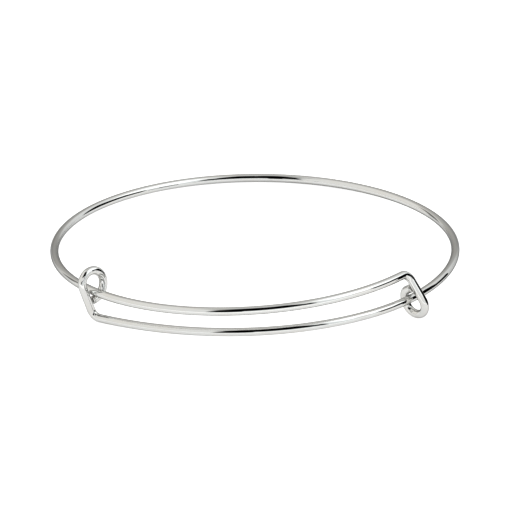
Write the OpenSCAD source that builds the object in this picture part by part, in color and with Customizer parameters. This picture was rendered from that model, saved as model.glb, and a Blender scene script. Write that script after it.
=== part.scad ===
// Adjustable charm bangle, bent from one length of round wire.
// The two ends of the wire overlap across the front, one strand above the other.
// Each end turns a corner and is hooked round the other half of the wire, so that
// the hooks slide along the hoop when the bangle is pulled wider. The part of each
// hook beyond the wire is an open eye for a charm.
// The bangle lies on its side, on the three points that touch the table.

/* [Wire and hoop] */
// Thickness of the wire
wire_diameter = 1.3; // [1:0.05:1.6]
// Width of the bangle, measured over the wire
bangle_diameter = 64; // [50:0.5:80]

/* [Front strands] */
// Angle from the middle of the back at which each half starts to leave the flat hoop
leave_start_angle = 70; // [55:1:85]
// Angle over which it bends gradually to its full slope
leave_bend_angle = 100; // [70:1:120]
// How far the upper strand is set inwards at the middle of the front
upper_inset = 0.1; // [0:0.05:1.5]
// How far the lower strand is set inwards at the middle of the front
lower_inset = 1.2; // [0:0.05:1.5]

/* [Right hook, on the upper strand] */
// Angle from the middle of the back at which the wire passes through this hook
right_hook_angle = 129.5; // [118:0.5:136]
// Lean of the stem away from the wrist, in degrees
right_lean_out_angle = 31; // [20:0.5:48]
// Lean of the stem along the strand, in degrees
right_lean_along_angle = 8.5; // [0:0.5:16]
// Length of the stem, from the corner to the start of the turn
right_stem = 4.85; // [3.8:0.05:7]
// Room between the stem and the wire that passes through the hook
right_play = 0.6; // [0.15:0.05:1.5]
// How much wider the far end of the eye is than the passage for the wire
right_swell = 0.4; // [0:0.05:1.5]
// Angle through which the far end of the eye is turned
right_turn_angle = 184; // [170:1:200]
// Angle at which the curl round the wire starts
right_curl_angle = 222; // [210:1:240]

/* [Left hook, on the lower strand] */
// Angle from the middle of the back at which the wire passes through this hook
left_hook_angle = 127; // [118:0.5:136]
// Lean of the stem away from the wrist, in degrees
left_lean_out_angle = 17; // [8:0.5:30]
// Lean of the stem along the strand, in degrees
left_lean_along_angle = 8; // [0:0.5:20]
// Length of the stem, from the corner to the start of the turn
left_stem = 4.95; // [3.8:0.05:7]
// Room between the stem and the wire that passes through the hook
left_play = 0.15; // [0.1:0.05:1.5]
// How much wider the far end of the eye is than the passage for the wire
left_swell = 1.05; // [0.2:0.05:2]
// Angle through which the far end of the eye is turned
left_turn_angle = 190; // [175:1:205]
// Angle at which the curl round the wire starts
left_curl_angle = 265; // [240:1:267]

/* [Bends and clearances] */
// Inside radius of the bend at each corner
corner_bend = 0.8; // [0.5:0.05:1.2]
// Gap between each curl and the wire that slides through it
slide_gap = 0.15; // [0.1:0.01:0.3]
// Gap between the cut end of the wire and the stem
tip_gap = 0.1; // [0.05:0.01:0.4]
// Rounding of the cut ends
tip_round = 0.2; // [0.05:0.01:0.4]

/* [Hidden] */

wire_r = wire_diameter / 2;
hoop_r = (bangle_diameter - wire_diameter) / 2;
curl_r = wire_diameter + slide_gap;
bend_r = corner_bend + wire_r;

// Every curl ends square to its stem
curl_end_angle = 270;

// Facets round the wire, and the largest turns from one section to the next
sides = 16;
hoop_step = 3;
bend_step = 12;

// A row of sizes for each hook, and what its columns hold
right_hook = [right_hook_angle, right_lean_out_angle, right_lean_along_angle, right_stem,
              right_play, right_swell, right_turn_angle, right_curl_angle, upper_inset];
left_hook = [left_hook_angle, left_lean_out_angle, left_lean_along_angle, left_stem,
             left_play, left_swell, left_turn_angle, left_curl_angle, lower_inset];
function place(h) = h[0];
function lean_out(h) = h[1];
function lean_along(h) = h[2];
function stem(h) = h[3];
function play(h) = h[4];
function swell(h) = h[5];
function eye_turn(h) = h[6];
function curl_start(h) = h[7];
function inset(h) = h[8];

// Both strands keep to the hoop's circle until they are a wire's thickness past both hooks
hook_room = wire_diameter;
strand_start = max(right_hook_angle, left_hook_angle) + hook_room / hoop_r * 180 / PI;

function unit(v) = v / norm(v);
function flat(v) = [v.x, v.y];
// Direction at an angle from the middle of the back
function compass(a) = [sin(a), cos(a), 0];
function bearing(p) = let (a = atan2(p.x, p.y)) a < 0 ? a + 360 : a;
// Half turn about the line from front to back
function turned(p) = [-p.x, p.y, -p.z];

// Each half is laid out with its hook on the left, standing up.
// Directions of a hook: away from the wrist, along the stem, and from the stem to the wrist.
function outward(h) = compass(-place(h));
function along(h) = [cos(place(h)), sin(place(h)), 0];
function stem_dir(h) =
    unit(cos(lean_out(h)) * cos(lean_along(h)) * [0, 0, 1] + sin(lean_out(h)) * outward(h)
         + sin(lean_along(h)) * along(h));
function wrist_dir(h) = let (s = stem_dir(h), o = outward(h)) unit((o * s) * s - o);

// The hook lies in one plane: x runs from the stem to the wrist and y along the stem.
// This is the direction to the inside of the bend once the wire has turned by an angle.
function inside(a) = [cos(a), -sin(a)];
function eye_width(h) = play(h) + wire_diameter + slide_gap + swell(h);
function eye_r(h) = (eye_width(h) + wire_diameter) / 2;
// Radius of the limb that joins the eye to the curl, so that the curl runs round the wire
function limb_r(h) =
    (wire_diameter + play(h) - eye_r(h) * (1 - cos(eye_turn(h))) - curl_r * cos(curl_start(h)))
    / (cos(eye_turn(h)) - cos(curl_start(h)));
// Where the other half of the wire passes through the hook, measured from the corner
function passing(h) =
    [eye_r(h), stem(h)] + (limb_r(h) - eye_r(h)) * inside(eye_turn(h))
    + (curl_r - limb_r(h)) * inside(curl_start(h));
function reach(h) = let (p = passing(h)) p.x * wrist_dir(h) + p.y * stem_dir(h);
function corner_angle(h) = bearing(hoop_r * outward(h) - reach(h));

// Share of a strand's full drop that it has reached at an angle: level, a gradual bend, a slope
function slope(x) = x <= 0 ? 0
                    : x < leave_bend_angle ? x * x / (2 * leave_bend_angle)
                    : x - leave_bend_angle / 2;
function drop_share(a, end) = slope(a - leave_start_angle) / slope(end - leave_start_angle);

// Drop of each corner below the hoop, which makes both wires pass through the middle of the
// other one's curl
right_share = drop_share(left_hook_angle, corner_angle(right_hook));
left_share = drop_share(right_hook_angle, corner_angle(left_hook));
function corner_drop(h, other, own_share, other_share) =
    (reach(h).z - other_share * reach(other).z) / (1 - own_share * other_share);
right_drop = corner_drop(right_hook, left_hook, right_share, left_share);
left_drop = corner_drop(left_hook, right_hook, left_share, right_share);
function corner(h, drop) = let (p = hoop_r * outward(h) - reach(h)) [p.x, p.y, -drop];

// Radius of the strand at an angle, for a strand that ends at a given angle and radius
function strand_r(a, h, end, end_r) =
    let (u = max(0, a - strand_start) / (180 - strand_start),
         v = (end - strand_start) / (180 - strand_start),
         b = (end_r - hoop_r + inset(h) * v * v) / (v * v * v - v * v))
    hoop_r - (inset(h) + b) * u * u + b * u * u * u;
function strand(a, h, end) = strand_r(a, h, bearing(end), norm(flat(end))) * compass(a)
                             + [0, 0, end.z * drop_share(a, bearing(end))];
function heading(a, h, end) = unit(strand(a + 0.01, h, end) - strand(a - 0.01, h, end));

// The strand ends where the corner bend starts. Its heading there sets the bend, so the end
// is found in a few steps.
function bend_angle(d, h) = acos(d * stem_dir(h));
function settle(h, c, end, steps) =
    let (d = heading(bearing(end), h, end))
    steps == 0 ? end : settle(h, c, c - d * bend_r * tan(bend_angle(d, h) / 2), steps - 1);

// Points of an arc that starts at p, heading d, and bends towards n
function steps_for(a) = max(2, ceil(a / bend_step));
function arc(p, d, n, r, a) = [for (i = [1 : steps_for(a)]) let (t = a * i / steps_for(a))
                               p + r * (sin(t) * d + (1 - cos(t)) * n)];

// Half of the wire, from the middle of the back to the cut end
function half(h, drop) =
    let (c = corner(h, drop), s = stem_dir(h), w = wrist_dir(h),
         e = settle(h, c, c - 1.2 * bend_r * heading(bearing(c), h, c), 5),
         d = heading(bearing(e), h, e),
         b = bend_angle(d, h),
         n = ceil(bearing(e) / hoop_step),
         turn = c + stem(h) * s,
         spot = function (p) c + p.x * w + p.y * s,
         dir = function (a) sin(a) * w + cos(a) * s,
         inn = function (a) cos(a) * w - sin(a) * s,
         limb = turn + eye_r(h) * (w - inn(eye_turn(h))),
         curl = spot(passing(h)) - curl_r * inn(curl_start(h)),
         cut = spot(passing(h)) - curl_r * inn(curl_end_angle),
         tip = passing(h).x - wire_r - tip_gap)
    concat([for (i = [0 : n - 1]) strand(i * bearing(e) / n, h, e)],
           [e],
           arc(e, d, unit(s - (s * d) * d), bend_r, b),
           [turn],
           arc(turn, s, w, eye_r(h), eye_turn(h)),
           arc(limb, dir(eye_turn(h)), inn(eye_turn(h)), limb_r(h), curl_start(h) - eye_turn(h)),
           arc(curl, dir(curl_start(h)), inn(curl_start(h)), curl_r, curl_end_angle - curl_start(h)),
           [cut - (tip - tip_round) * w, cut - (tip - tip_round / 2) * w, cut - tip * w]);

left_half = half(left_hook, left_drop);
right_half = [for (p = half(right_hook, right_drop)) turned(p)];
route = concat([for (i = [len(right_half) - 1 : -1 : 1]) right_half[i]], left_half);

// The table touches the back of the hoop and one point at each hook
function low(points, up) = let (z = [for (p = points) p * up]) points[search(min(z), z)[0]];
function upright(v) = v.z < 0 ? -v : v;
function floor_normal(b, l, r, up, steps) =
    steps == 0 ? up
    : let (pb = low(b, up), pl = low(l, up), pr = low(r, up))
      floor_normal(b, l, r, upright(unit(cross(pl - pb, pr - pb))), steps - 1);
up = floor_normal([for (p = route) if (p.y > hoop_r / 2) p],
                  [for (p = route) if (p.y < 0 && p.x < -hoop_r / 2) p],
                  [for (p = route) if (p.y < 0 && p.x > hoop_r / 2) p], [0, 0, 1], 6);
side = unit([1, 0, 0] - up.x * up);
ahead = cross(up, side);
function laid(p) = [p * side, p * ahead, p * up];

// Sections of the wire, square to its course and without twist
line = [for (p = route) laid(p)];
last = len(line) - 1;
course = [for (i = [0 : last])
          unit((i == 0 ? [0, 0, 0] : unit(line[i] - line[i - 1]))
               + (i == last ? [0, 0, 0] : unit(line[i + 1] - line[i])))];
function squared(n, t) = unit(n - (n * t) * t);
normals = [for (i = 0, n = squared([0, 0, 1], course[0]); i <= last;
                i = i + 1, n = i <= last ? squared(n, course[i]) : n) n];
// The cut ends are rounded off
function section_r(i) = let (k = min(i, last - i))
                        wire_r - (k == 0 ? tip_round : k == 1 ? tip_round * 0.134 : 0);
skin = [for (i = [0 : last]) for (j = [0 : sides - 1])
        line[i] + section_r(i) * (cos(360 * j / sides) * normals[i]
                                  + sin(360 * j / sides) * cross(course[i], normals[i]))];
xs = [for (p = skin) p.x];
ys = [for (p = skin) p.y];
zs = [for (p = skin) p.z];
// The origin is on the table, under the middle of the bangle
origin = [(min(xs) + max(xs)) / 2, (min(ys) + max(ys)) / 2, min(zs)];

function corner_no(i, j) = i * sides + j % sides;
walls = [for (i = [0 : last - 1]) for (j = [0 : sides - 1])
         each [[corner_no(i, j), corner_no(i + 1, j + 1), corner_no(i, j + 1)],
               [corner_no(i, j), corner_no(i + 1, j), corner_no(i + 1, j + 1)]]];
ends = [[for (j = [0 : sides - 1]) j],
        [for (j = [sides - 1 : -1 : 0]) corner_no(last, j)]];

module bangle_wire() {
    color("silver")
        polyhedron(points = [for (p = skin) p - origin], faces = concat(walls, ends));
}

bangle_wire();
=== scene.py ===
"""The looks of the charm bangle: its plated wire, the table that it lies on, the studio and the camera."""

import math
from collections import namedtuple

import bmesh
import bpy
from mathutils import Matrix, Vector


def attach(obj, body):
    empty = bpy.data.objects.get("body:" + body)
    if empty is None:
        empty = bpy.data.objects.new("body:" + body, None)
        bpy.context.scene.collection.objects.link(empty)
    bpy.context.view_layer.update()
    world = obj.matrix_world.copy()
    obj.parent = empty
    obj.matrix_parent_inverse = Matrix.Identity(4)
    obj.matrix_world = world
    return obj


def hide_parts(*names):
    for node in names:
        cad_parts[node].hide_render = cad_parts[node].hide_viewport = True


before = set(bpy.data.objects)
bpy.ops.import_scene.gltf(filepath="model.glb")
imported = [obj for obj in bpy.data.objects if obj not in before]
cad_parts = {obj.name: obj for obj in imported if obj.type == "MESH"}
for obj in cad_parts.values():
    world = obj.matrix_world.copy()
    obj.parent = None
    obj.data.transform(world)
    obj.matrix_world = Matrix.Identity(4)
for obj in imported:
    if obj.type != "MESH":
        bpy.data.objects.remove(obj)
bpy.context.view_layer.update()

MM = 0.001

# Sizes of the wire and the hoop, in millimetres, as in the part's source
WIRE_DIAMETER = 1.3
BANGLE_DIAMETER = 64
LEAVE_START_ANGLE = 70
LEAVE_BEND_ANGLE = 100
CORNER_BEND = 0.8
SLIDE_GAP = 0.15
TIP_GAP = 0.1
TIP_ROUND = 0.2
CURL_END_ANGLE = 270

WIRE_R = WIRE_DIAMETER / 2
HOOP_R = (BANGLE_DIAMETER - WIRE_DIAMETER) / 2
CURL_R = WIRE_DIAMETER + SLIDE_GAP
BEND_R = CORNER_BEND + WIRE_R

# How finely the wire is modelled: sides round it, longest step along it and largest turn, steps
# along its straight stretches and across the rounded rim of its ends
SIDES = 40
STRAND_STEP = 0.6
BEND_STEP = 5
STRAIGHT_STEPS = 4
RIM_STEPS = 4

# How places that depend on each other settle: the first guess of a bend's reach, in radii of the
# bend, the rounds for a strand's end and for the way the bangle lies, and the turn, in degrees,
# over which a strand's heading is taken
FIRST_REACH = 1.2
END_ROUNDS = 5
LAY_ROUNDS = 6
HEADING_TURN = 0.01

# Points of both halves of the wire that are closer than this are one, in millimetres
JOIN_WITHIN = 0.001


def sin(angle):
    return math.sin(math.radians(angle))


def cos(angle):
    return math.cos(math.radians(angle))


def compass(angle):
    """Direction at an angle from the middle of the back."""
    return Vector((sin(angle), cos(angle), 0))


def bearing(point):
    """Angle of a point from the middle of the back."""
    return math.degrees(math.atan2(point.x, point.y)) % 360


class Hook:
    """The sizes of one hook, and the directions and radii that follow from them.

    Each half of the wire is laid out with its hook on the left, standing up. In the hook's plane,
    the first number runs from the stem to the wrist and the second along the stem."""

    def __init__(self, place, lean_out, lean_along, stem, play, swell, turn, curl, inset):
        self.place, self.stem, self.turn, self.curl, self.inset = place, stem, turn, curl, inset
        self.outward = compass(-place)
        along = Vector((cos(place), sin(place), 0))
        upright = Vector((0, 0, cos(lean_out) * cos(lean_along)))
        lean = sin(lean_out) * self.outward + sin(lean_along) * along
        self.stem_dir = (upright + lean).normalized()
        across = self.outward.dot(self.stem_dir) * self.stem_dir - self.outward
        self.wrist_dir = across.normalized()
        self.eye_r = (play + WIRE_DIAMETER + SLIDE_GAP + swell + WIRE_DIAMETER) / 2
        across_stem = WIRE_DIAMETER + play - self.eye_r * (1 - cos(turn)) - CURL_R * cos(curl)
        self.limb_r = across_stem / (cos(turn) - cos(curl))
        self.passing = (Vector((self.eye_r, stem))
                        + (self.limb_r - self.eye_r) * Vector((cos(turn), -sin(turn)))
                        + (CURL_R - self.limb_r) * Vector((cos(curl), -sin(curl))))
        self.reach = self.in_place(self.passing)

    def in_place(self, point):
        """A point of the hook's plane, as an offset from the corner."""
        return point.x * self.wrist_dir + point.y * self.stem_dir

    def inside(self, angle):
        """Direction to the inside of the bend, once the wire has turned by an angle."""
        return cos(angle) * self.wrist_dir - sin(angle) * self.stem_dir

    def corner(self, drop):
        flat = HOOP_R * self.outward - self.reach
        return Vector((flat.x, flat.y, -drop))


RIGHT = Hook(place=129.5, lean_out=31, lean_along=8.5, stem=4.85, play=0.6, swell=0.4,
             turn=184, curl=222, inset=0.1)
LEFT = Hook(place=127, lean_out=17, lean_along=8, stem=4.95, play=0.15, swell=1.05,
            turn=190, curl=265, inset=1.2)
HOOK_ROOM = WIRE_DIAMETER
STRAND_START = max(RIGHT.place, LEFT.place) + math.degrees(HOOK_ROOM / HOOP_R)


def slope(angle):
    """Level, then a gradual bend, then an even slope."""
    if angle <= 0:
        return 0
    if angle < LEAVE_BEND_ANGLE:
        return angle * angle / (2 * LEAVE_BEND_ANGLE)
    return angle - LEAVE_BEND_ANGLE / 2


def drop_share(angle, end):
    return slope(angle - LEAVE_START_ANGLE) / slope(end - LEAVE_START_ANGLE)


def corner_drops():
    """Drops of both corners, so that each wire passes through the middle of the other one's curl."""
    right_share = drop_share(LEFT.place, bearing(RIGHT.corner(0)))
    left_share = drop_share(RIGHT.place, bearing(LEFT.corner(0)))
    together = 1 - right_share * left_share
    return ((RIGHT.reach.z - right_share * LEFT.reach.z) / together,
            (LEFT.reach.z - left_share * RIGHT.reach.z) / together)


class Strand:
    """The wire from the middle of the back to its corner, by the angle from the middle of the back."""

    def __init__(self, hook, drop):
        self.hook = hook
        self.vertex = hook.corner(drop)
        self.end = self.vertex
        heading = self.heading(bearing(self.vertex))
        self.end = self.vertex - FIRST_REACH * BEND_R * heading
        for _ in range(END_ROUNDS):
            heading = self.heading(bearing(self.end))
            tangent = BEND_R * math.tan(self.bend(heading) / 2)
            self.end = self.vertex - tangent * heading

    def bend(self, heading):
        """The corner's bend, in radians."""
        return heading.angle(self.hook.stem_dir)

    def radius(self, angle):
        """Even round the back, inside that by the inset at the middle of the front, and so to the end."""
        u = max(0, angle - STRAND_START) / (180 - STRAND_START)
        v = (bearing(self.end) - STRAND_START) / (180 - STRAND_START)
        inset = self.hook.inset
        b = (self.end.xy.length - HOOP_R + inset * v * v) / (v ** 3 - v * v)
        return HOOP_R - (inset + b) * u * u + b * u ** 3

    def point(self, angle):
        height = self.end.z * drop_share(angle, bearing(self.end))
        return self.radius(angle) * compass(angle) + Vector((0, 0, height))

    def heading(self, angle):
        step = self.point(angle + HEADING_TURN) - self.point(angle - HEADING_TURN)
        return step.normalized()


class Wire:
    """A length of round wire, drawn out of one circle and bent as it goes.

    Each vertex remembers where it would be on the straight wire, which the finish is laid out by."""

    def __init__(self, start, heading, way):
        self.bm = bmesh.new()
        self.unbent = self.bm.verts.layers.float_vector.new("unbent")
        self.way = way
        self.length = 0
        self.point, self.heading = start, heading
        circle = bmesh.ops.create_circle(self.bm, segments=SIDES, radius=WIRE_R, cap_ends=False)
        self.ring = circle["verts"]
        for vert in self.ring:
            vert[self.unbent] = (vert.co.x * way, vert.co.y, 0)
        # The circle lies flat, so it is stood up to face the way that the wire runs
        stand = Matrix(((0, 0, way), (1, 0, 0), (0, way, 0))).to_4x4()
        bmesh.ops.transform(self.bm, matrix=Matrix.Translation(start) @ stand, verts=self.ring)

    def edges(self):
        ring = set(self.ring)
        around = {edge for vert in self.ring for edge in vert.link_edges}
        return [edge for edge in around if set(edge.verts) <= ring]

    def mark(self, step):
        """Notes how far along the wire the new ring is."""
        self.length += step
        for vert in self.ring:
            x, y, _ = vert[self.unbent]
            vert[self.unbent] = (x, y, self.way * self.length)

    def run(self, point, heading):
        """Draws the wire on to a point, facing a heading."""
        made = bmesh.ops.extrude_edge_only(self.bm, edges=self.edges())["geom"]
        self.ring = [part for part in made if isinstance(part, bmesh.types.BMVert)]
        turn = self.heading.rotation_difference(heading).to_matrix()
        bmesh.ops.rotate(self.bm, verts=self.ring, cent=self.point, matrix=turn)
        bmesh.ops.translate(self.bm, verts=self.ring, vec=point - self.point)
        step = (point - self.point).length
        self.point, self.heading = point, heading
        self.mark(step)

    def straight(self, distance):
        for _ in range(STRAIGHT_STEPS):
            self.run(self.point + self.heading * distance / STRAIGHT_STEPS, self.heading)

    def bend(self, towards, radius, angle):
        """Bends the wire by an angle, round a centre on the given side."""
        inner = (towards - towards.dot(self.heading) * self.heading).normalized()
        centre = self.point + radius * inner
        axis = self.heading.cross(inner)
        steps = max(2, math.ceil(math.degrees(angle) / BEND_STEP))
        turn = Matrix.Rotation(angle / steps, 3, axis)
        for _ in range(steps):
            made = bmesh.ops.spin(self.bm, geom=self.edges(), cent=centre, axis=axis,
                                  angle=angle / steps, steps=1, use_merge=False)
            self.ring = [part for part in made["geom_last"] if isinstance(part, bmesh.types.BMVert)]
            self.point = centre + turn @ (self.point - centre)
            self.heading = turn @ self.heading
            self.mark(radius * angle / steps)

    def cut(self):
        """Closes the wire's end and rounds its rim."""
        cap = bmesh.ops.contextual_create(self.bm, geom=self.edges())["faces"]
        bmesh.ops.bevel(self.bm, geom=list(cap[0].edges), affect="EDGES", offset=TIP_ROUND,
                        segments=RIM_STEPS, profile=0.5, material=-1)


def half_wire(hook, drop, way):
    """Half of the wire, from the middle of the back to its cut end."""
    strand = Strand(hook, drop)
    wire = Wire(Vector((0, HOOP_R, 0)), Vector((1, 0, 0)), way)
    end_angle = bearing(strand.end)
    steps = math.ceil(math.radians(end_angle) * HOOP_R / STRAND_STEP)
    for i in range(1, steps):
        angle = end_angle * i / steps
        wire.run(strand.point(angle), strand.heading(angle))
    wire.run(strand.end, strand.heading(end_angle))
    wire.bend(hook.stem_dir, BEND_R, strand.bend(wire.heading))
    turn_start = strand.vertex + hook.stem * hook.stem_dir
    wire.straight((turn_start - wire.point).length)
    wire.bend(hook.wrist_dir, hook.eye_r, math.radians(hook.turn))
    wire.bend(hook.inside(hook.turn), hook.limb_r, math.radians(hook.curl - hook.turn))
    wire.bend(hook.inside(hook.curl), CURL_R, math.radians(CURL_END_ANGLE - hook.curl))
    wire.straight(hook.passing.x - WIRE_R - TIP_GAP)
    wire.cut()
    return wire.bm


def lay_down(bm):
    """Turns the bangle to lie on the three points that touch the table, over the frame's origin."""
    verts = [vert.co.copy() for vert in bm.verts]
    zones = [[co for co in verts if co.y > HOOP_R / 2],
             [co for co in verts if co.y < 0 and co.x < -HOOP_R / 2],
             [co for co in verts if co.y < 0 and co.x > HOOP_R / 2]]
    up = Vector((0, 0, 1))
    for _ in range(LAY_ROUNDS):
        back, left, right = (min(zone, key=up.dot) for zone in zones)
        up = (left - back).cross(right - back).normalized()
        up = up if up.z > 0 else -up
    side = (Vector((1, 0, 0)) - up.x * up).normalized()
    bmesh.ops.rotate(bm, verts=bm.verts, matrix=Matrix((side, up.cross(side), up)))
    low = Vector([min(vert.co[i] for vert in bm.verts) for i in range(3)])
    high = Vector([max(vert.co[i] for vert in bm.verts) for i in range(3)])
    shift = Vector((-(low.x + high.x) / 2, -(low.y + high.y) / 2, -low.z))
    bmesh.ops.translate(bm, verts=bm.verts, vec=shift)


def put_in_order(bm):
    """Sorts edges and faces by their corners, because extruding leaves them in any order."""
    bm.verts.index_update()
    count = len(bm.verts)

    def place(part):
        corners = [vert.index for vert in part.verts]
        return min(corners) * count + max(corners)

    bm.edges.sort(key=place)
    bm.faces.sort(key=place)


def make_bangle():
    """Joins both halves of the wire at the middle of the back."""
    right_drop, left_drop = corner_drops()
    left = half_wire(LEFT, left_drop, 1)
    right = half_wire(RIGHT, right_drop, -1)
    bmesh.ops.rotate(right, verts=right.verts, matrix=Matrix.Rotation(math.pi, 3, "Y"))
    mesh = bpy.data.meshes.new("bangle")
    whole = bmesh.new()
    for half in (left, right):
        half.to_mesh(mesh)
        half.free()
        whole.from_mesh(mesh)
    bmesh.ops.remove_doubles(whole, verts=whole.verts, dist=JOIN_WITHIN)
    bmesh.ops.recalc_face_normals(whole, faces=whole.faces)
    put_in_order(whole)
    lay_down(whole)
    bmesh.ops.scale(whole, verts=whole.verts, vec=(MM, MM, MM))
    for face in whole.faces:
        face.smooth = True
    whole.to_mesh(mesh)
    whole.free()
    bangle = bpy.data.objects.new("bangle", mesh)
    bpy.context.scene.collection.objects.link(bangle)
    return bangle


class Value:
    """A number or colour on its way through a shader. Maths on it adds the nodes."""

    def __init__(self, shader, socket):
        self.shader, self.socket = shader, socket

    def maths(self, operation, *others):
        sockets = dict(enumerate((self, *others)))
        return self.shader.node("ShaderNodeMath", {"operation": operation}, sockets)

    def reflected(self, operation, other):
        return self.shader.node("ShaderNodeMath", {"operation": operation}, {0: other, 1: self})

    def __add__(self, other):
        return self.maths("ADD", other)

    def __sub__(self, other):
        return self.maths("SUBTRACT", other)

    def __mul__(self, other):
        return self.maths("MULTIPLY", other)

    def __neg__(self):
        return self.maths("MULTIPLY", -1)

    def __abs__(self):
        return self.maths("ABSOLUTE")

    def __radd__(self, other):
        return self.reflected("ADD", other)

    def __rsub__(self, other):
        return self.reflected("SUBTRACT", other)

    def __rmul__(self, other):
        return self.reflected("MULTIPLY", other)

    def ease(self, low, high):
        """Rises smoothly from 0 at low to 1 at high."""
        settings = {"interpolation_type": "SMOOTHSTEP"}
        return self.shader.node("ShaderNodeMapRange", settings,
                                {"Value": self, "From Min": low, "From Max": high})

    def scaled(self, factors):
        return self.shader.node("ShaderNodeVectorMath", {"operation": "MULTIPLY"},
                                {0: self, 1: factors})


class Shader:
    """The nodes of a material or of the surroundings."""

    def __init__(self, owner):
        owner.use_nodes = True
        self.tree = owner.node_tree
        self.tree.nodes.clear()

    def node(self, kind, settings=None, sockets=None, output=0):
        """Adds a node, with its settings first and then the values or links of its sockets."""
        node = self.tree.nodes.new(kind)
        for name, setting in (settings or {}).items():
            setattr(node, name, setting)
        for name, value in (sockets or {}).items():
            if isinstance(value, Value):
                self.tree.links.new(value.socket, node.inputs[name])
            else:
                node.inputs[name].default_value = value
        return Value(self, node.outputs[output]) if node.outputs else node

    def parts(self, vector):
        """The three numbers of a vector."""
        first = self.node("ShaderNodeSeparateXYZ", {}, {0: vector})
        outputs = first.socket.node.outputs
        return [Value(self, outputs[i]) for i in range(3)]

    def noise(self, place, repeats, detail):
        """Soft noise, with its repeats in each millimetre across, up and along the straight wire."""
        return self.node("ShaderNodeTexNoise", {"noise_dimensions": "3D"},
                         {"Vector": place.scaled(repeats), "Scale": 1, "Detail": detail})

    def mix(self, factor, first, second):
        """A mix of two even colours."""
        node = self.node("ShaderNodeMix", {"data_type": "RGBA"}, {"Factor": factor}).socket.node
        for name, colour in (("A_Color", first), ("B_Color", second)):
            socket = next(s for s in node.inputs if s.identifier == name)
            socket.default_value = colour
        return Value(self, next(s for s in node.outputs if s.identifier == "Result_Color"))


def grey(level):
    return (level, level, level, 1)


# Colours of the plating: its even tone, the slightly warmer tone of thinner patches, and the tint
# of its mirror towards the edges of the wire
PLATING = (0.83, 0.83, 0.82, 1)
PLATING_WARM = (0.82, 0.81, 0.79, 1)
PLATING_EDGE = grey(0.35)

# How often the finish repeats in each millimetre across, up and along the straight wire
WAVES = (0.9, 0.9, 0.28)
DRAWING_LINES = (18, 18, 1)
PATCHES = (0.65, 0.65, 0.26)
PITS = 2.2

# Between which levels of its noise a line or a patch grows to its full strength, and between which
# distances from its middle a pit ends, in repeats
LINE_LEVELS = (0.45, 0.75)
PATCH_LEVELS = (0.42, 0.7)
PIT_RIM = (0.02, 0.05)

# Roughness of the plating, and what drawing lines, patches and pits add to it
POLISH = 0.012
LINE_ROUGHNESS = 0.015
PATCH_ROUGHNESS = 0.01
PIT_ROUGHNESS = 0.15

# Heights of the waves and the drawing lines, in millimetres, how strongly the lines show, and how
# deep a pit is for each height of a line
WAVE_HEIGHT = 0.012
LINE_HEIGHT = 0.0004
LINE_STRENGTH = 0.6
PIT_DEPTH = 0.6


def plated_wire():
    """Bright plating over drawn wire: fine drawing lines, long gentle waves and a few pits."""
    material = bpy.data.materials.new("bright_plated_wire")
    shader = Shader(material)
    unbent = shader.node("ShaderNodeAttribute", {"attribute_name": "unbent"}, output="Vector")
    waves = shader.noise(unbent, WAVES, detail=1)
    lines = shader.noise(unbent, DRAWING_LINES, detail=3)
    patches = shader.noise(unbent, PATCHES, detail=3)
    from_pit = shader.node("ShaderNodeTexVoronoi", {"feature": "F1"},
                           {"Vector": unbent, "Scale": PITS})
    pit = 1 - from_pit.ease(*PIT_RIM)
    colour = shader.mix(patches.ease(*PATCH_LEVELS), PLATING, PLATING_WARM)
    line_dullness = LINE_ROUGHNESS * lines.ease(*LINE_LEVELS)
    roughness = POLISH + line_dullness + PATCH_ROUGHNESS * patches + PIT_ROUGHNESS * pit
    long_bump = shader.node("ShaderNodeBump", {}, {
        "Strength": 1, "Distance": WAVE_HEIGHT * MM, "Height": waves})
    fine_bump = shader.node("ShaderNodeBump", {}, {
        "Strength": LINE_STRENGTH, "Distance": LINE_HEIGHT * MM, "Height": lines - PIT_DEPTH * pit,
        "Normal": long_bump})
    surface = shader.node("ShaderNodeBsdfPrincipled", {}, {
        "Base Color": colour, "Metallic": 1, "Roughness": roughness, "Normal": fine_bump,
        "Specular Tint": PLATING_EDGE})
    shader.node("ShaderNodeOutputMaterial", {}, {"Surface": surface})
    return material


# How brightly the table glows: to the camera, in the wire's mirror, how much more in front of the
# hoop, a painted pool of light, and how much less where the right half of the hoop's back rests on
# it, a painted contact shadow; both show only in the wire's mirror
GLOW_SEEN = 0.8
GLOW_MIRRORED = 0.53
PAINTED_FRONT_LIGHT = 0.24
PAINTED_CONTACT_SHADOW = 0.28

# The table: its radius and number of sides, its white and its roughness
TABLE_R = 3000 * MM
TABLE_SIDES = 64
TABLE_COLOUR = grey(0.6)
TABLE_ROUGHNESS = 0.9

# Where the painted light and shade change: how far in front of the hoop's middle the painted light
# starts and is full, how far from the wire's middle the painted contact shadow starts to fade and
# ends, and over which stretches towards the back and towards the right it grows
FRONT_LIGHT_EDGE = (36 * MM, 60 * MM)
CONTACT_SHADOW_EDGE = (0.6 * MM, 1.8 * MM)
TOWARDS_BACK = (0, 25 * MM)
TOWARDS_RIGHT = (-30 * MM, 15 * MM)


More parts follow.
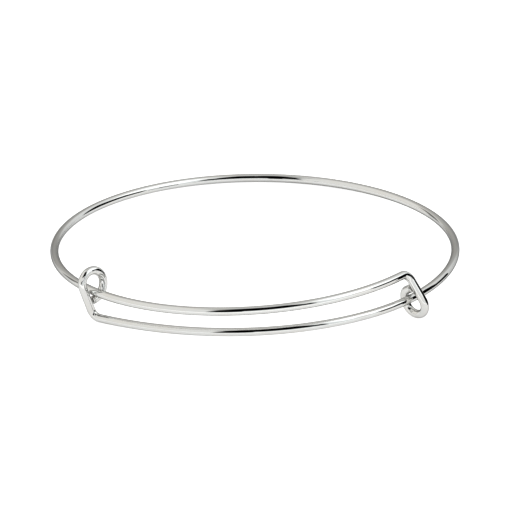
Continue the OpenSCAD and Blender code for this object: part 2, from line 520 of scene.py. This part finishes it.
def lit_table():
    """A white table that glows, so that hardly a shadow shows on it; in the wire's mirror it glows less,
    with painted light in front of the hoop and a painted contact shadow under the hoop's back.
    """
    material = bpy.data.materials.new("lit_table")
    shader = Shader(material)
    place = shader.node("ShaderNodeTexCoord", output="Object")
    x, y, _ = shader.parts(place)
    # Painted light: the wire mirrors the table brighter in front of the hoop
    front_light_mask = (-y).ease(*FRONT_LIGHT_EDGE)
    # Painted contact shadow: the wire mirrors the table darker along the right half of the hoop's back,
    # where it rests
    from_hoop = abs((x * x + y * y).maths("SQRT") - HOOP_R * MM)
    contact_shadow_side = y.ease(*TOWARDS_BACK) * x.ease(*TOWARDS_RIGHT)
    painted_contact_shadow = (1 - from_hoop.ease(*CONTACT_SHADOW_EDGE)) * contact_shadow_side
    seen = shader.node("ShaderNodeLightPath", output="Is Camera Ray")
    mirrored = GLOW_MIRRORED + PAINTED_FRONT_LIGHT * front_light_mask - PAINTED_CONTACT_SHADOW * painted_contact_shadow
    glow = mirrored * (1 - seen) + GLOW_SEEN * seen
    surface = shader.node("ShaderNodeBsdfPrincipled", {}, {
        "Base Color": TABLE_COLOUR, "Roughness": TABLE_ROUGHNESS, "Emission Color": glow,
        "Emission Strength": 1})
    shader.node("ShaderNodeOutputMaterial", {}, {"Surface": surface})
    return material


def stage_piece(name, bm, material):
    """Puts a piece of the studio round the bangle."""
    mesh = bpy.data.meshes.new(name)
    bm.to_mesh(mesh)
    bm.free()
    mesh.materials.append(material)
    piece = bpy.data.objects.new(name, mesh)
    bpy.context.scene.collection.objects.link(piece)
    return piece


def make_table():
    bm = bmesh.new()
    bmesh.ops.create_circle(bm, cap_ends=True, segments=TABLE_SIDES, radius=TABLE_R)
    stage_piece("table", bm, lit_table())


# How bright the tent and the blackest flags are, and what the camera sees past the table
TENT = 0.93
BLACK = 0.001
BACKDROP = 1.1

# Small cards round the bangle, in millimetres: the middle, the size and the brightness of each
CARD_THICKNESS = 0.2
Card = namedtuple("Card", "name middle size level")
CARDS = [
    Card("stem_black_card", (40, -16.5, 7), (CARD_THICKNESS, 15, 14), BLACK),
    Card("hoop_black_card", (40, -5.8, 3.5), (CARD_THICKNESS, 6.4, 6), BLACK),
    Card("right_white_card", (32.3, -36, 12.3), (9.4, CARD_THICKNESS, 8.5), TENT),
    Card("left_white_card", (-26.5, -40, 20), (21, CARD_THICKNESS, 11), TENT),
]


def card_face(name, level):
    """A card's even glow, or its black."""
    material = bpy.data.materials.new(name)
    shader = Shader(material)
    surface = shader.node("ShaderNodeEmission", {}, {"Color": grey(1), "Strength": level})
    shader.node("ShaderNodeOutputMaterial", {}, {"Surface": surface})
    return material


def make_cards():
    """Cards that only the wire mirrors, and that the camera doesn't see."""
    for card in CARDS:
        bm = bmesh.new()
        bmesh.ops.create_cube(bm, size=MM)
        bmesh.ops.scale(bm, verts=bm.verts, vec=card.size)
        bmesh.ops.translate(bm, verts=bm.verts, vec=MM * Vector(card.middle))
        piece = stage_piece(card.name, bm, card_face(card.name, card.level))
        piece.visible_camera = False
        piece.visible_diffuse = False


# The studio far round the bangle, as the wire mirrors it. Each panel has the angle from the front
# to its middle, rightwards, its height above the table, half its width and height, how soft its
# edges are, all in degrees, and its brightness. Where panels overlap, the later one shows.
Panel = namedtuple("Panel", "name turn height half_width half_height soft level")
PANELS = [
    Panel("back_wall", -172, 25, 32, 70, 16, 0.68),
    Panel("roof", 0, 90, 180, 12, 8, 0.71),
    Panel("left_roof_flag", -48, 76, 36, 8, 8, 0.3),
    Panel("right_softbox", 76, 48, 31, 22, 12, 1.45),
    Panel("left_grey_flag", -126, 14, 6, 14, 5, 0.3),
    Panel("right_dark_bar", 78, 14, 10, 11, 2, 0.01),
    Panel("right_black_flag", 101, 11, 16, 18, 3, BLACK),
    Panel("front_low_flag", 3, 32, 31, 14, 2, BLACK),
    Panel("front_left_flag", -18, 14, 10, 7, 2, BLACK),
    Panel("front_high_flag", -3, 60, 32, 18, 4, BLACK),
]

# The tent's own tint: cool towards a bearing to the right of the front, warm on the other side,
# and how far both ends of the change lie from the middle
WARM_SIDE = (1.01, 1.0, 0.97, 1)
COOL_SIDE = (0.975, 1.0, 1.005, 1)
COOL_BEARING = 60
TINT_REACH = 0.8


def studio():
    """A light tent with soft lamps and black flags, all round the bangle."""
    world = bpy.data.worlds.new("studio")
    shader = Shader(world)
    direction = shader.node("ShaderNodeTexCoord", output="Generated")
    x, y, z = shader.parts(direction)
    turn = x.maths("ARCTAN2", -y) * math.degrees(1)
    height = z.maths("ARCSINE") * math.degrees(1)
    light = TENT
    for panel in PANELS:
        aside = abs((turn - panel.turn).maths("WRAP", 180, -180))
        above = abs(height - panel.height)
        fade = panel.soft / 2
        in_width = 1 - aside.ease(panel.half_width - fade, panel.half_width + fade)
        in_height = 1 - above.ease(panel.half_height - fade, panel.half_height + fade)
        mask = in_width * in_height
        light = light * (1 - mask) + panel.level * mask
    seen = shader.node("ShaderNodeLightPath", output="Is Camera Ray")
    light = light * (1 - seen) + BACKDROP * seen
    towards_cool = sin(COOL_BEARING) * x - cos(COOL_BEARING) * y
    cool = towards_cool.ease(-TINT_REACH, TINT_REACH)
    tint = shader.mix(cool, WARM_SIDE, COOL_SIDE)
    surface = shader.node("ShaderNodeBackground", {}, {"Color": tint, "Strength": light})
    shader.node("ShaderNodeOutputWorld", {}, {"Surface": surface})
    return world


# The camera in the frame of the part: angles in degrees and lengths in millimetres
CAMERA_TURN = 0.271
CAMERA_HEIGHT = 24.939
CAMERA_ROLL = -0.738
CAMERA_DISTANCE = 1224.3
CAMERA_AIM = Vector((0.008, -0.531, 1.781))
CAMERA_LENS = 552.6
SENSOR = 36

# How far the camera sees, in metres
CAMERA_REACH = 20

# The tone of the picture: below 1 it is deeper in the darks
PICTURE_GAMMA = 0.75


def make_camera():
    data = bpy.data.cameras.new("camera")
    data.lens = CAMERA_LENS
    data.sensor_width = SENSOR
    data.clip_end = CAMERA_REACH
    camera = bpy.data.objects.new("camera", data)
    bpy.context.scene.collection.objects.link(camera)
    back = Vector((sin(CAMERA_TURN) * cos(CAMERA_HEIGHT), -cos(CAMERA_TURN) * cos(CAMERA_HEIGHT),
                   sin(CAMERA_HEIGHT)))
    camera.location = (CAMERA_AIM + CAMERA_DISTANCE * back) * MM
    facing = (-back).to_track_quat("-Z", "Y").to_matrix()
    roll = Matrix.Rotation(math.radians(CAMERA_ROLL), 3, "Z")
    camera.rotation_euler = (facing @ roll).to_euler()
    bpy.context.scene.camera = camera


bangle = make_bangle()
bangle.data.materials.append(plated_wire())
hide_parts("bangle_wire")
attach(bangle, "root")

make_table()
make_cards()
make_camera()
bpy.context.scene.world = studio()
bpy.context.scene.view_settings.view_transform = "Standard"
bpy.context.scene.view_settings.gamma = PICTURE_GAMMA
